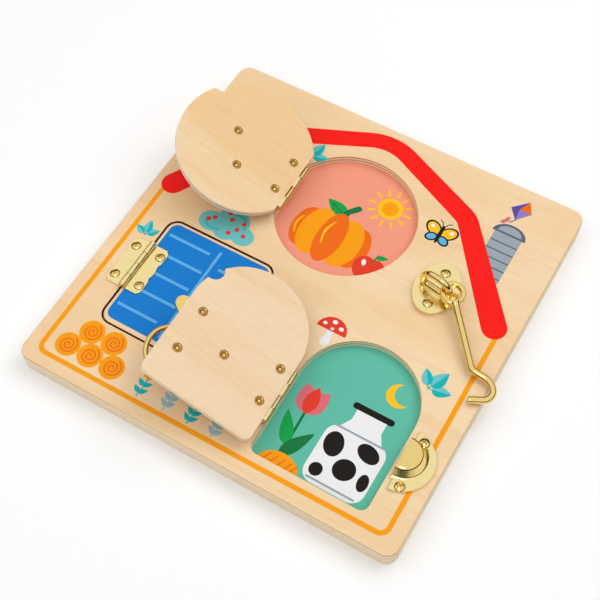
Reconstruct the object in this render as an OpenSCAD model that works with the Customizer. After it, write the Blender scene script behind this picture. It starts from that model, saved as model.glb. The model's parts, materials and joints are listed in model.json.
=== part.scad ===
// Wooden busy board with three little doors, a cabin hook and a turn latch.
// Millimetres. X runs right along the bottom edge, Y up the board, Z out of its face.
// The origin is the centre of the back face. Two doors are laid open, one is shut.

/* [Board] */
// Width of the board
board_w = 275; // [274:1:340]
// Height of the board
board_h = 281; // [262:1:340]
// Thickness of the back panel
back_t = 9; // [8:0.5:15]
// Thickness of the front panel
front_t = 6; // [5:0.5:9]
// Radius of the board's corners
board_corner = 8.5; // [4:0.5:14]
// Easing of the wooden edges
ease = 0.9; // [0.4:0.1:1.4]
// Gap under a closed door
door_lift = 0.4; // [0.2:0.1:0.8]

/* [Round door] */
// Centre of the round opening, right of the board's centre
round_x = -5.6; // [-8:0.1:-1]
// Centre of the round opening, above the board's centre
round_y = 59.2; // [56:0.1:66]
// Radius of the round opening
round_r = 49.7; // [41:0.1:52]
// Depth of the flat on the hinge side of the round opening
round_flat = 6; // [4:0.1:8]
// Gap round the round door
round_gap = 0.8; // [0.5:0.1:1.5]
// Height of the round door's hinge above the board's centre
round_hinge_y = 58.5; // [54:0.5:64]
// Direction of the round door's finger notch, from the right
round_notch = 38; // [20:1:60]

/* [Arch door] */
// Centre of the arch, right of the board's centre
arch_x = 68.3; // [66:0.1:70]
// Centre of the arch, above the board's centre
arch_y = -59.6; // [-62:0.1:-56]
// Radius of the arch opening
arch_r = 41; // [34:0.1:42]
// Height of the straight sides of the arch opening
arch_leg = 63.4; // [55:0.1:66]
// Radius of the arch opening's lower corners
arch_corner = 5.5; // [3:0.5:9]
// Gap round the arch door
arch_gap = 0.8; // [0.5:0.1:1.5]
// Height of the arch door's hinge above the board's centre
arch_hinge_y = -83.5; // [-92:0.5:-80]
// Direction of the arch door's finger notch, from the right
arch_notch = 27; // [15:1:45]

/* [Square door] */
// Centre of the square opening, right of the board's centre
square_x = -65.4; // [-67:0.1:-63]
// Centre of the square opening, above the board's centre
square_y = -47.6; // [-50:0.1:-44]
// Width of the square opening
square_w = 84.8; // [72:0.1:86]
// Height of the square opening
square_h = 91.5; // [76:0.1:95]
// Radius of the square opening's corners
square_corner = 9; // [4:0.5:12]
// Gap round the square door
square_gap = 1.2; // [0.8:0.1:2]
// Height of the square door's hinge above the board's centre
square_hinge_y = -46.8; // [-52:0.1:-42]

/* [Hinges] */
// Length of a hinge
hinge_len = 38.5; // [33:0.5:48]
// Width of one hinge leaf, from the pin
leaf_w = 13.6; // [13.4:0.1:15]
// Thickness of a hinge leaf
leaf_t = 1; // [0.8:0.1:1.2]
// Number of knuckles on a hinge
knuckles = 4; // [3:1:6]
// Radius of a hinge knuckle
knuckle_r = 2.2; // [1.8:0.1:2.6]
// Radius of a hinge pin
pin_r = 1.1; // [0.9:0.05:1.3]
// Distance of a leaf screw from the pin
leaf_screw_x = 9.7; // [9:0.1:9.9]
// Spacing of the two screws in a leaf
leaf_screw_pitch = 25.2; // [21:0.1:27]

/* [Screws] */
// Radius of a screw head
head_r = 3; // [2.5:0.1:3.1]
// Height of a screw head above its plate
head_h = 1.1; // [0.7:0.1:1.5]
// Radius of a screw shank
shank_r = 1.25; // [1:0.05:1.5]
// Length of a wood screw
screw_len = 12; // [8:0.5:14]
// Radius of a sleeve nut's flange
nut_r = 2.9; // [2.6:0.1:3.4]

/* [Cabin hook] */
// Centre of the hook's plate, right of the board's centre
hook_x = 75.8; // [72:0.1:80]
// Centre of the hook's plate, above the board's centre
hook_y = 36; // [32:0.5:44]
// Length of an oval plate
plate_len = 40.8; // [38:0.1:46]
// Width of an oval plate
plate_w = 30.2; // [29:0.1:34]
// Thickness of an oval plate
plate_t = 3; // [2:0.1:4]
// Spacing of the two screws in an oval plate
plate_screw_pitch = 26.2; // [25:0.1:30]
// Radius of the rod of a staple and of the hook
rod_r = 2.5; // [2:0.1:2.6]
// Spacing of a staple's legs
staple_w = 20.6; // [18:0.1:22]
// Height of the middle of a staple's top rod
staple_h = 17.6; // [17:0.1:22]
// Turn of the hook's staple
staple_turn = -9; // [-12:1:0]
// Length of the hook's straight rod
hook_rod = 54; // [44:0.5:66]
// Direction of the resting hook
hook_turn = -50.2; // [-60:0.1:-40]

/* [Catch] */
// Catch plate, right of the round door's centre
catch_dx = 4.7; // [2:0.1:8]
// Catch plate, above the round door's centre
catch_dy = -4; // [-8:0.1:4]
// Turn of the catch plate
catch_turn = -30.5; // [-40:0.5:-15]

/* [Turn latch] */
// Distance of the latch's pivot from the arch door's hinge pin
latch_u = 61; // [58:0.5:63]
// Height of the latch's pivot above the board's centre
latch_y = -83.5; // [-86:0.5:-80]
// Reach of the latch's tongue
tongue_len = 32; // [30:0.5:33]
// Width of the latch's tongue
tongue_w = 10.5; // [8:0.5:11]
// Thickness of the latch's tongue
tongue_t = 3.2; // [2:0.1:3.4]
// Turn of the latch, from pointing at its keeper
latch_turn = 34.6; // [30:0.1:50]
// Outer radius of the finger ring
ring_r = 18.5; // [15:0.5:20]
// Width of the finger ring's band
ring_band = 3.4; // [2.5:0.1:4.5]
// Height of the latch's knob above the door
knob_h = 24; // [20:0.5:28]

/* [Keeper] */
// Straight edge of the keeper, right of the board's centre
keeper_x = 113.2; // [112:0.1:115]
// Centre of the keeper's plate, above the board's centre
keeper_y = -81.9; // [-84:0.1:-80]
// Radius of the keeper's plate
keeper_r = 21; // [20.5:0.1:22]
// Outermost reach of the keeper's plate from its straight edge
keeper_reach = 20.2; // [19:0.1:20.5]
// Thickness of the keeper's plate
keeper_t = 1.7; // [1.2:0.1:2]
// Spacing of the keeper's screws
keeper_pitch = 32.5; // [32:0.1:34]
// Height of the keeper's hood above the board
hood_h = 7.8; // [7.4:0.1:9]
// Radius of the keeper's hood at its foot
hood_foot = 14.5; // [14:0.1:15]
// Radius of the keeper's hood at its roof
hood_roof = 10.6; // [10:0.1:12]

/* [Hidden] */
$fn = 64;
eps = 0.01;

wood = "#F1D3A4";
brass = "#E6CF7A";

// Levels
top_z = back_t + front_t;
door_t = front_t - door_lift;
pin_h = knuckle_r + 0.1;   // height of every hinge pin above the face
pin_fit = 0.05;            // radial clearance of a pin in its knuckles
knuckle_gap = 0.3;         // clearance beside a knuckle
rest_gap = 0.3;            // air between the board and what lies on it

// Hinge pins: how far each lies outside its opening
round_hinge_gap = 3;       // gap beside the round door's flat edge, under its pin
round_pin_x = round_x - round_r + round_flat + round_hinge_gap / 2;
arch_pin_x = arch_x - arch_r - 0.6;
square_pin_in = 1.25;      // the square door's pin stands over the gap beside its edge
square_pin_x = square_x - square_w / 2 + square_pin_in;

// Outline of a hinge leaf
leaf_clip = 2.5;
wave_dip = 1;
wave_len = 5.5;
wave_r = 14.5;

// Finger notches
notch_r = 7;
notch_out = 2;             // notch centre outside the door's edge

// Screws: a countersunk cone under an oval head
cone_h = head_r - shank_r;
screw_fit = 0.1;
nut_flange_t = 0.8;
nut_sink = 0.3;
nut_barrel_r = shank_r + 0.65;
plate_screws = [[0, plate_screw_pitch / 2], [0, -plate_screw_pitch / 2]];
// Latch screws, from its pivot: two near the door's edge, one behind
latch_screws_at = [[8.7, 14.6], [8.7, -14.6], [-17.4, -1]];

// Oval plates: an oval of four arcs
oval_end_r = 11.5;
oval_end_y = plate_len / 2 - oval_end_r;
oval_side_r = (pow(plate_w / 2, 2) + pow(oval_end_y, 2) - pow(oval_end_r, 2)) / (plate_w - 2 * oval_end_r);
oval_side_x = oval_side_r - plate_w / 2;
oval_join_y = oval_end_y * oval_side_r / (oval_side_r - oval_end_r);

// Staples: a closed loop, with a low bar between its legs
staple_bend = 7;
hook_staple_off = [0.1, -1.8]; // where the hook's staple stands on its plate
bar_h = 4;
rivet_r = 1.5;

// The catch plate on the closed round door
catch_x = round_x + catch_dx;
catch_y = round_y + catch_dy;
catch_u = catch_x - round_pin_x;

// Hook: eye, rod, swan bend and crook. The eye lies on the staple's bar.
eye_r = 8.3;
eye_hole = 5.3;
eye_t = 4.6;
eye_z = plate_t + bar_h + eye_t / 2 + 0.4;
eye_x = hook_x + 12.4;
eye_y = hook_y - 2.5;
crook_turn = 45.6;         // the swan bend
crook_bend = 5;
crook_reach = 7.2;
crook_sweep = 46.2;        // the crook starts as a wide arc
crook_sweep_bend = 11.2;
crook_back = 102;          // and ends in a tight one
crook_back_bend = 6.6;
crook_tip = 9.2;
hook_reach = hook_rod + 21;
hook_dip = asin((eye_z - rod_r - rest_gap) / hook_reach);

// Latch
latch_plate_t = 2;
latch_sink = 0.8;          // how far the latch's screws are sunk, clear of the lever
latch_float = 0.5;         // air under the lever
tongue_z = latch_plate_t + latch_float;
hub_r = 6.5;
post_r = 4;
knob_r = 5;
ring_t = 4;
ring_z = 8.5;              // underside of the finger ring above the door
ring_mid = ring_r - ring_band / 2;
ring_side = -88;           // direction of the ring's centre from the tongue
pivot_r = 2;
pivot_len = 16;
latch_x = arch_pin_x + latch_u;

// Keeper
hood_wall = 1.2;
hood_y = keeper_y + 2.5;
hood_lip = 1.2;            // how far the hood's mouth stands past the plate
hood_open = 50;            // the hood is open beyond this direction, where the tongue swings in
keeper_screw_x = 6.3;

// Resting tilt of an open door that leans on something u from its pin and h tall
function lean(u, h) =
    asin((rest_gap - pin_h) / norm([u, h - pin_h])) + atan2(h - pin_h, u);
// The round door leans on its staple's lower shoulder, the arch door on its knob's rim
shoulder_u = catch_u - (staple_w / 2 - staple_bend) * cos(catch_turn);
shoulder_h = staple_h - staple_bend - pin_h;
round_tilt =
    asin((staple_bend + rod_r + rest_gap - pin_h) / norm([shoulder_u, shoulder_h]))
    + atan2(shoulder_h, shoulder_u);
arch_tilt = lean(latch_u - knob_r, knob_h);

// ---------- wood ----------

// Section of a wooden edge: run is measured inwards from the outer face
module edge_section(run, thick, low, high) {
    difference() {
        square([run, thick]);
        if (low > 0) edge_cut(run, 0, low, 1);
        if (high > 0) edge_cut(run, thick, high, -1);
    }
}

// What is taken off one corner of that section to round it
module edge_cut(run, level, r, up) {
    difference() {
        translate([run - r, up > 0 ? level - eps : level - r]) square([r + eps, r + eps]);
        translate([run - r, level + up * r]) circle(r);
    }
}

// Straight edge that runs along +Y, with its outer face at x = run
module edge_strip(len, run, thick, low, high) {
    translate([0, len, 0]) rotate([90, 0, 0]) linear_extrude(len) edge_section(run, thick, low, high);
}

// Rectangular board with round corners and eased edges, centred
module eased_board(w, h, thick, corner, low, high) {
    translate([corner - w / 2, corner - h / 2, 0]) cube([w - 2 * corner, h - 2 * corner, thick]);
    for (turn = [0 : 3]) {
        long = (turn % 2 == 0 ? h : w) - 2 * corner;
        out = (turn % 2 == 0 ? w : h) / 2 - corner;
        rotate(90 * turn) {
            translate([out, -long / 2, 0]) edge_strip(long, corner, thick, low, high);
            translate([out, long / 2, 0])
                rotate_extrude(angle = 90) edge_section(corner, thick, low, high);
        }
    }
}

// Arch-topped board with eased edges, with the arch's centre at the origin
module eased_arch(r, leg, thick, corner, edge) {
    inner = r - corner;
    rotate_extrude(angle = 180) edge_section(r, thick, edge, edge);
    translate([-inner, corner - leg, 0]) cube([2 * inner, leg - corner, thick]);
    for (side = [0, 1]) mirror([side, 0, 0]) {
        translate([inner, corner - leg, 0]) {
            edge_strip(leg - corner, corner, thick, edge, edge);
            rotate(-90) rotate_extrude(angle = 90) edge_section(corner, thick, edge, edge);
        }
    }
    translate([-inner, corner - leg, 0]) rotate(-90) edge_strip(2 * inner, corner, thick, edge, edge);
}

module rounded_outline(w, h, corner) {
    square([w, h - 2 * corner], center = true);
    square([w - 2 * corner, h], center = true);
    for (sx = [-1, 1], sy = [-1, 1])
        translate([sx * (w / 2 - corner), sy * (h / 2 - corner)]) circle(corner);
}

module arch_outline(r, leg, corner) {
    circle(r);
    translate([-r, corner - leg]) square([2 * r, leg - corner]);
    translate([corner - r, -leg]) square([2 * (r - corner), leg]);
    for (side = [-1, 1])
        translate([side * (r - corner), corner - leg]) circle(corner);
}

module round_outline(r, flat) {
    difference() {
        circle(r);
        translate([-3 * r + flat, -r]) square([2 * r, 2 * r]);
    }
}

// Finger notch in the edge of a round end of radius r
module notch(r, turn) {
    rotate(turn) translate([r + notch_out, 0, -1]) cylinder(h = door_t + 2, r = notch_r);
}

module back_panel() color(wood) difference() {
    eased_board(board_w, board_h, back_t, board_corner, ease, 0);
    board_screw_spaces();
}

module front_panel() color(wood) difference() {
    translate([0, 0, back_t]) eased_board(board_w, board_h, front_t, board_corner, 0, ease);
    translate([0, 0, back_t - 1]) linear_extrude(front_t + 2) {
        translate([round_x, round_y]) round_outline(round_r, round_flat);
        translate([arch_x, arch_y]) arch_outline(arch_r, arch_leg, arch_corner);
        translate([square_x, square_y]) rounded_outline(square_w, square_h, square_corner);
    }
    board_screw_spaces();
}

module round_door() color(wood) lay_round_door() difference() {
    translate([round_x, round_y, top_z - door_t]) difference() {
        rotate_extrude() edge_section(round_r - round_gap, door_t, ease, ease);
        translate([round_flat + round_hinge_gap - 2 * round_r, -round_r, -1])
            cube([round_r, 2 * round_r, door_t + 2]);
        notch(round_r - round_gap, round_notch);
    }
    nut_spaces(round_screws_at);
}

module arch_door() color(wood) lay_arch_door() difference() {
    translate([arch_x, arch_y, top_z - door_t]) difference() {
        eased_arch(arch_r - arch_gap, arch_leg - arch_gap, door_t, arch_corner - arch_gap, ease);
        notch(arch_r - arch_gap, arch_notch);
    }
    nut_spaces(arch_screws_at);
}

module square_door() color(wood) difference() {
    translate([square_x, square_y, top_z - door_t])
        eased_board(square_w - 2 * square_gap, square_h - 2 * square_gap, door_t,
            square_corner - square_gap, ease, ease);
    nut_spaces(square_screws_at);
}

// A door laid open about its pin, leaning by tilt on what stands on its face
module laid_open(pin_x, tilt) {
    translate([pin_x, 0, top_z + pin_h]) rotate([0, tilt - 180, 0])
        translate([-pin_x, 0, -top_z - pin_h]) children();
}

module lay_round_door() laid_open(round_pin_x, round_tilt) children();

module lay_arch_door() laid_open(arch_pin_x, arch_tilt) children();

// ---------- screws and nuts ----------

// Screw with its seat at z = 0: oval head above, cone and shank below
module screw(length, point) {
    dome_r = (head_r * head_r + head_h * head_h) / (2 * head_h);
    rotate_extrude() {
        polygon([[0, 0], [head_r, 0], [shank_r, -cone_h], [shank_r, point - length], [0, -length]]);
        intersection() {
            translate([0, head_h - dome_r]) circle(dome_r);
            square([head_r, head_h]);
        }
    }
}

// What a screw takes out of the plate and the wood under its seat, and above a sunk seat
module screw_space(depth, above = eps) {
    seat_r = head_r + screw_fit + 0.4;
    translate([0, 0, -cone_h]) cylinder(h = cone_h + eps, r1 = shank_r + screw_fit, r2 = seat_r);
    cylinder(h = above, r = seat_r);
    translate([0, 0, -depth]) cylinder(h = depth, r = shank_r + screw_fit);
}

// Sleeve nut in the back of a door, with the door's back face at z = 0
module sleeve_nut() {
    rotate_extrude() translate([shank_r + screw_fit, nut_sink]) {
        square([nut_r - shank_r - screw_fit, nut_flange_t]);
        square([nut_barrel_r - shank_r - screw_fit, door_t - nut_sink - cone_h]);
    }
}

// Seats of every screw: x, y and the thickness of the plate it holds
function pair_at(x, y, pitch, plate) = [for (side = [1, -1]) [x, y + side * pitch / 2, plate]];
function turned_at(x, y, turn, points, plate) =
    [for (p = points) [x + p[0] * cos(turn) - p[1] * sin(turn), y + p[0] * sin(turn) + p[1] * cos(turn), plate]];

round_board_at = pair_at(round_pin_x - leaf_screw_x, round_hinge_y, leaf_screw_pitch, leaf_t);
arch_board_at = pair_at(arch_pin_x - leaf_screw_x, arch_hinge_y, leaf_screw_pitch, leaf_t);
square_board_at = pair_at(square_pin_x - leaf_screw_x, square_hinge_y, leaf_screw_pitch, leaf_t);
hook_board_at = pair_at(hook_x, hook_y, plate_screw_pitch, plate_t);
keeper_board_at = pair_at(keeper_x + keeper_screw_x, keeper_y, keeper_pitch, keeper_t);
round_leaf_at = pair_at(round_pin_x + leaf_screw_x, round_hinge_y, leaf_screw_pitch, leaf_t);
arch_leaf_at = pair_at(arch_pin_x + leaf_screw_x, arch_hinge_y, leaf_screw_pitch, leaf_t);
square_screws_at = pair_at(square_pin_x + leaf_screw_x, square_hinge_y, leaf_screw_pitch, leaf_t);
catch_at = turned_at(catch_x, catch_y, catch_turn, plate_screws, plate_t);
latch_at = turned_at(latch_x, latch_y, 0, latch_screws_at, latch_plate_t - latch_sink);
round_screws_at = concat(round_leaf_at, catch_at);
arch_screws_at = concat(arch_leaf_at, latch_at);

module wood_screws(seats) color(brass)
    for (s = seats) translate([s[0], s[1], top_z + s[2]]) screw(screw_len, 3);

module door_screws(seats) color(brass)
    for (s = seats) translate([s[0], s[1], top_z + s[2]]) screw(s[2] + door_t - 0.9, 0);

module door_nuts(seats) color(brass)
    for (s = seats) translate([s[0], s[1], top_z - door_t]) sleeve_nut();

module board_screw_spaces()
    for (s = concat(round_board_at, arch_board_at, square_board_at, hook_board_at, keeper_board_at))
        translate([s[0], s[1], top_z + s[2]]) screw_space(screw_len + 0.5);

module nut_spaces(seats)
    for (s = seats) translate([s[0], s[1], top_z - door_t]) {
        translate([0, 0, -1]) cylinder(h = door_t + 2, r = nut_barrel_r + screw_fit);
        translate([0, 0, -1]) cylinder(h = 1 + nut_sink + nut_flange_t + 0.1, r = nut_r + 0.3);
    }

// ---------- hinges ----------

// Leaf outline in +X from the knuckles, with clipped corners and a waved outer edge
module leaf_outline() {
    half = hinge_len / 2;
    start = knuckle_r + knuckle_gap;
    polygon([
        [start, -half], [leaf_w - leaf_clip, -half], [leaf_w, leaf_clip - half],
        [leaf_w, -wave_len - 2.5], [leaf_w - wave_dip, -wave_len],
        [leaf_w - wave_dip, wave_len], [leaf_w, wave_len + 2.5],
        [leaf_w, half - leaf_clip], [leaf_w - leaf_clip, half], [start, half]
    ]);
    intersection() {
        translate([leaf_w - wave_dip / 6 - wave_r, 0]) circle(wave_r);
        translate([start, -wave_len]) square([leaf_w, 2 * wave_len]);
    }
}

// One hinge leaf on a face at z = 0, with the pin above x = 0. first is its topmost knuckle
module hinge_leaf(first) color(brass) {
    pitch = hinge_len / knuckles;
    difference() {
        union() {
            difference() {
                linear_extrude(leaf_t) leaf_outline();
                for (side = [-1, 1])
                    translate([leaf_screw_x, side * leaf_screw_pitch / 2, leaf_t]) screw_space(leaf_t + 1);
            }
            for (k = [first : 2 : knuckles - 1]) {
                low = hinge_len / 2 - (k + 1) * pitch + knuckle_gap / 2;
                translate([0, low, pin_h]) rotate([-90, 0, 0]) cylinder(h = pitch - knuckle_gap, r = knuckle_r);
                translate([0, low, 0]) cube([knuckle_r + knuckle_gap, pitch - knuckle_gap, leaf_t]);
            }
        }
        translate([0, -hinge_len / 2 - 1, pin_h]) rotate([-90, 0, 0])
            cylinder(h = hinge_len + 2, r = pin_r + pin_fit);
    }
}

module hinge_pin(x, y) color(brass) translate([x, y, top_z + pin_h]) rotate([90, 0, 0]) {
    cylinder(h = hinge_len + 0.4, r = pin_r, center = true);
    for (side = [-1, 1]) translate([0, 0, side * (hinge_len / 2 + 0.4)])
        cylinder(h = 0.7, r = pin_r + 0.5, center = true);
}

module board_leaf(x, y) translate([x, y, top_z]) mirror([1, 0, 0]) hinge_leaf(0);

module door_leaf(x, y) translate([x, y, top_z]) hinge_leaf(1);

module round_hinge_board_leaf() board_leaf(round_pin_x, round_hinge_y);
module arch_hinge_board_leaf() board_leaf(arch_pin_x, arch_hinge_y);
module square_hinge_board_leaf() board_leaf(square_pin_x, square_hinge_y);
module round_hinge_door_leaf() lay_round_door() door_leaf(round_pin_x, round_hinge_y);
module arch_hinge_door_leaf() lay_arch_door() door_leaf(arch_pin_x, arch_hinge_y);
module square_hinge_door_leaf() door_leaf(square_pin_x, square_hinge_y);
module round_hinge_pin() hinge_pin(round_pin_x, round_hinge_y);
module arch_hinge_pin() hinge_pin(arch_pin_x, arch_hinge_y);
module square_hinge_pin() hinge_pin(square_pin_x, square_hinge_y);

module round_hinge_board_screws() wood_screws(round_board_at);
module arch_hinge_board_screws() wood_screws(arch_board_at);
module square_hinge_board_screws() wood_screws(square_board_at);
module round_hinge_door_screws() lay_round_door() door_screws(round_leaf_at);
module arch_hinge_door_screws() lay_arch_door() door_screws(arch_leaf_at);
module square_hinge_door_screws() door_screws(square_screws_at);
module round_hinge_door_nuts() lay_round_door() door_nuts(round_leaf_at);
module arch_hinge_door_nuts() lay_arch_door() door_nuts(arch_leaf_at);
module square_hinge_door_nuts() door_nuts(square_screws_at);

// ---------- oval plates, staples and cabin hook ----------

// Rod bent in the XY plane, starting along +X: each step is [length, turn to the left, bend radius]
module bent_rod(steps, i = 0) {
    length = steps[i][0];
    turn = steps[i][1];
    bend = steps[i][2];
    side = sign(turn);
    rotate([0, 90, 0]) cylinder(h = length, r = rod_r);
    if (turn != 0) translate([length, side * bend, 0]) {
        rotate(side > 0 ? -90 : 90 + turn)
            rotate_extrude(angle = abs(turn)) translate([bend, 0]) circle(rod_r);
        rotate(turn) translate([0, -side * bend, 0]) bent_rod(steps, i + 1);
    }
}

// Oval of four arcs, with its length along Y
module oval_outline() {
    for (side = [-1, 1]) translate([0, side * oval_end_y]) circle(oval_end_r);
    intersection() {
        translate([oval_side_x, 0]) circle(oval_side_r);
        translate([-oval_side_x, 0]) circle(oval_side_r);
        square([plate_w + 1, 2 * oval_join_y], center = true);
    }
}

// Oval plate with its screw holes and the two rivet holes of its staple
module oval_plate(staple_at, turn) color(brass) difference() {
    linear_extrude(plate_t) oval_outline();
    for (s = plate_screws) translate([s[0], s[1], plate_t]) screw_space(plate_t + 1);
    translate(staple_at) rotate(turn) for (side = [-1, 1])
        translate([side * staple_w / 2, 0, -1]) cylinder(h = plate_t + 2, r = rivet_r + screw_fit);
}

// Staple on an oval plate, riveted through it: a closed loop that stands up along X
module staple(turn) color(brass) rotate(turn) {
    leg = staple_h - staple_bend - plate_t;
    translate([-staple_w / 2, 0, plate_t]) rotate([90, 0, 0]) rotate(90)
        bent_rod([[leg, -90, staple_bend], [staple_w - 2 * staple_bend, -90, staple_bend], [leg, 0, 0]]);
    intersection() {
        translate([-staple_w / 2, 0, plate_t + bar_h - rod_r]) rotate([0, 90, 0])
            cylinder(h = staple_w, r = rod_r);
        translate([-staple_w / 2, -rod_r, plate_t]) cube([staple_w, 2 * rod_r, bar_h]);
    }
    for (side = [-1, 1])
        translate([side * staple_w / 2, 0, 0.3]) cylinder(h = plate_t - 0.3, r = rivet_r);
}

module hook_plate() translate([hook_x, hook_y, top_z]) oval_plate(hook_staple_off, staple_turn);
module hook_staple()
    translate([hook_x, hook_y, top_z]) translate(hook_staple_off) staple(staple_turn);
module hook_plate_screws() wood_screws(hook_board_at);

module lay_catch() lay_round_door() translate([catch_x, catch_y, top_z]) rotate(catch_turn) children();

module catch_plate() lay_catch() oval_plate([0, 0], 0);
module catch_staple() lay_catch() staple(0);
module catch_screws() lay_round_door() door_screws(catch_at);
module catch_nuts() lay_round_door() door_nuts(catch_at);

// Cabin hook: the eye is round its staple's right leg, the crook points back across the rod
module hook() color(brass)
    translate([eye_x, eye_y, top_z + eye_z]) rotate(hook_turn) rotate([0, hook_dip, 0]) {
        eye_mid = (eye_r + eye_hole) / 2;
        eye_band = eye_r - eye_hole;
        rotate_extrude() translate([eye_mid, 0]) {
            square([eye_band, eye_t - eye_band], center = true);
            for (side = [-1, 1]) translate([0, side * (eye_t - eye_band) / 2]) circle(eye_band / 2);
        }
        translate([eye_mid, 0, 0]) bent_rod([
            [hook_rod - eye_mid - crook_bend * tan(crook_turn / 2), crook_turn, crook_bend],
            [crook_reach, -crook_sweep, crook_sweep_bend],
            [0.1, -crook_back, crook_back_bend],
            [crook_tip, 0, 0]
        ]);
    }

// ---------- keeper ----------

module keeper() color(brass) translate([keeper_x, keeper_y, top_z]) {
    hood_at = hood_y - keeper_y;
    foot = hood_foot - hood_wall;
    roof = hood_roof - hood_wall;
    difference() {
        linear_extrude(keeper_t) intersection() {
            translate([keeper_reach - keeper_r, 0]) circle(keeper_r);
            translate([0, -keeper_r]) square([keeper_r, 2 * keeper_r]);
        }
        for (side = [-1, 1])
            translate([keeper_screw_x, side * keeper_pitch / 2, keeper_t]) screw_space(keeper_t + 1);
        translate([0, hood_at, -1]) rotate(-90) rotate_extrude(angle = 90 + hood_open) square([foot, keeper_t + 2]);
        translate([0, hood_at, -1]) cylinder(h = keeper_t + 2, r = roof);
    }
    translate([0, hood_at, 0]) {
        rotate(-90) rotate_extrude(angle = 90 + hood_open) hood_section();
        rotate(-90) rotate_extrude(angle = 180)
            translate([0, hood_h - hood_wall]) square([hood_roof, hood_wall]);
        translate([-hood_lip, 0, 0]) rotate([90, 0, 90]) mirror([1, 0, 0]) linear_extrude(hood_lip)
            hood_section();
        translate([-hood_lip, -eps, hood_h - hood_wall]) cube([hood_lip, hood_roof + eps, hood_wall]);
    }
}

// Half section of the hood: a drafted wall and the roof
module hood_section() difference() {
    polygon([[0, 0], [hood_foot, 0], [hood_foot, keeper_t], [hood_roof, hood_h], [0, hood_h]]);
    polygon([
        [-1, -1], [hood_foot - hood_wall, -1], [hood_foot - hood_wall, keeper_t - 0.4],
        [hood_roof - hood_wall, hood_h - hood_wall], [-1, hood_h - hood_wall]
    ]);
}

module keeper_screws() wood_screws(keeper_board_at);

// ---------- turn latch ----------

module lay_latch() lay_arch_door() translate([latch_x, latch_y, top_z]) children();

module latch_plate() color(brass) lay_latch() difference() {
    linear_extrude(latch_plate_t) hull()
        for (s = latch_screws_at) translate(s) circle(6, $fn = 32);
    for (s = latch_screws_at)
        translate([s[0], s[1], latch_plate_t - latch_sink]) screw_space(latch_plate_t + 1, latch_sink + 1);
    translate([0, 0, -1]) cylinder(h = latch_plate_t + 2, r = pivot_r + pin_fit);
}

module latch_pivot() color(brass) lay_latch() cylinder(h = pivot_len, r = pivot_r);

module latch_screws() lay_arch_door() door_screws(latch_at);
module latch_nuts() lay_arch_door() door_nuts(latch_at);

// One casting: hub, tongue, finger ring and knob
module latch_lever() color(brass) lay_latch() rotate(latch_turn) difference() {
    union() {
        translate([0, 0, tongue_z]) linear_extrude(tongue_t) {
            translate([0, -tongue_w / 2]) square([tongue_len - tongue_w / 2, tongue_w]);
            translate([tongue_len - tongue_w / 2, 0]) circle(tongue_w / 2);
        }
        rotate_extrude() polygon([
            [0, tongue_z], [hub_r, tongue_z], [hub_r, tongue_z + tongue_t], [post_r, tongue_z + tongue_t + 1.5],
            [post_r, knob_h - 6], [knob_r, knob_h - 4], [knob_r, knob_h - 1], [knob_r - 1, knob_h],
            [0, knob_h]
        ]);
        rotate(ring_side) translate([ring_mid, 0, ring_z + ring_t / 2]) rotate_extrude()
            translate([ring_mid, 0]) {
                square([ring_band, ring_t - ring_band], center = true);
                for (side = [-1, 1])
                    translate([0, side * (ring_t - ring_band) / 2]) circle(ring_band / 2);
            }
    }
    cylinder(h = pivot_len + 0.4, r = pivot_r + pin_fit);
}

back_panel();
front_panel();
round_hinge_board_leaf();
arch_hinge_board_leaf();
square_hinge_board_leaf();
round_hinge_pin();
arch_hinge_pin();
square_hinge_pin();
round_hinge_board_screws();
arch_hinge_board_screws();
square_hinge_board_screws();
hook_plate();
hook_staple();
hook_plate_screws();
keeper();
keeper_screws();
hook();
round_door();
round_hinge_door_leaf();
round_hinge_door_screws();
round_hinge_door_nuts();
catch_plate();
catch_staple();
catch_screws();
catch_nuts();
arch_door();
arch_hinge_door_leaf();
arch_hinge_door_screws();
arch_hinge_door_nuts();
latch_plate();
latch_pivot();
latch_screws();
latch_nuts();
latch_lever();
square_door();
square_hinge_door_leaf();
square_hinge_door_screws();
square_hinge_door_nuts();
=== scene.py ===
import json
import math

import bmesh
import bpy
from mathutils import Matrix, Vector


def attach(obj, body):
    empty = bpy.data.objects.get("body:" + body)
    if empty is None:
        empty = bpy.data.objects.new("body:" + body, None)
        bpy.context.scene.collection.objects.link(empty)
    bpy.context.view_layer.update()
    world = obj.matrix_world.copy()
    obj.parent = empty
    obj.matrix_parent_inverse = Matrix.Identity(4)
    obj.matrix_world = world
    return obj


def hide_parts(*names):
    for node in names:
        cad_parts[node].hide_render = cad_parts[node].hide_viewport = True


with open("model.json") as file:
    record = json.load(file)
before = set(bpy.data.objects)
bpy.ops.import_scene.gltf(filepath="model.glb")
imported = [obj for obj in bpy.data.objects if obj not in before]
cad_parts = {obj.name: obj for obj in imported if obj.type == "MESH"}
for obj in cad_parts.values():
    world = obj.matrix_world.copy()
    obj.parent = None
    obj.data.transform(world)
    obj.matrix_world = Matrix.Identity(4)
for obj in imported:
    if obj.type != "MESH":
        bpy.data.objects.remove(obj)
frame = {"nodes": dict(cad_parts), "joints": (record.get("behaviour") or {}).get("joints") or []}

mm = 0.001
nodes = frame["nodes"]
joints = {j["name"]: j for j in frame["joints"]}
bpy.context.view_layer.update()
scene = bpy.context.scene
print("frame loaded")


def linear(hexColour):   # an sRGB hex colour as linear RGBA
    parts = [int(hexColour[i:i + 2], 16) / 255 for i in (1, 3, 5)]
    return [c / 12.92 if c <= 0.04045 else ((c + 0.055) / 1.055) ** 2.4 for c in parts] + [1.0]


def add(tree, kind, settings=None, inputs=None):   # a node with its settings, values and links
    node = tree.nodes.new(kind)
    for name, value in (settings or {}).items():
        setattr(node, name, value)
    for key, value in (inputs or {}).items():
        if isinstance(value, bpy.types.NodeSocket):
            tree.links.new(value, node.inputs[key])
        else:
            node.inputs[key].default_value = value
    return node


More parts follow.
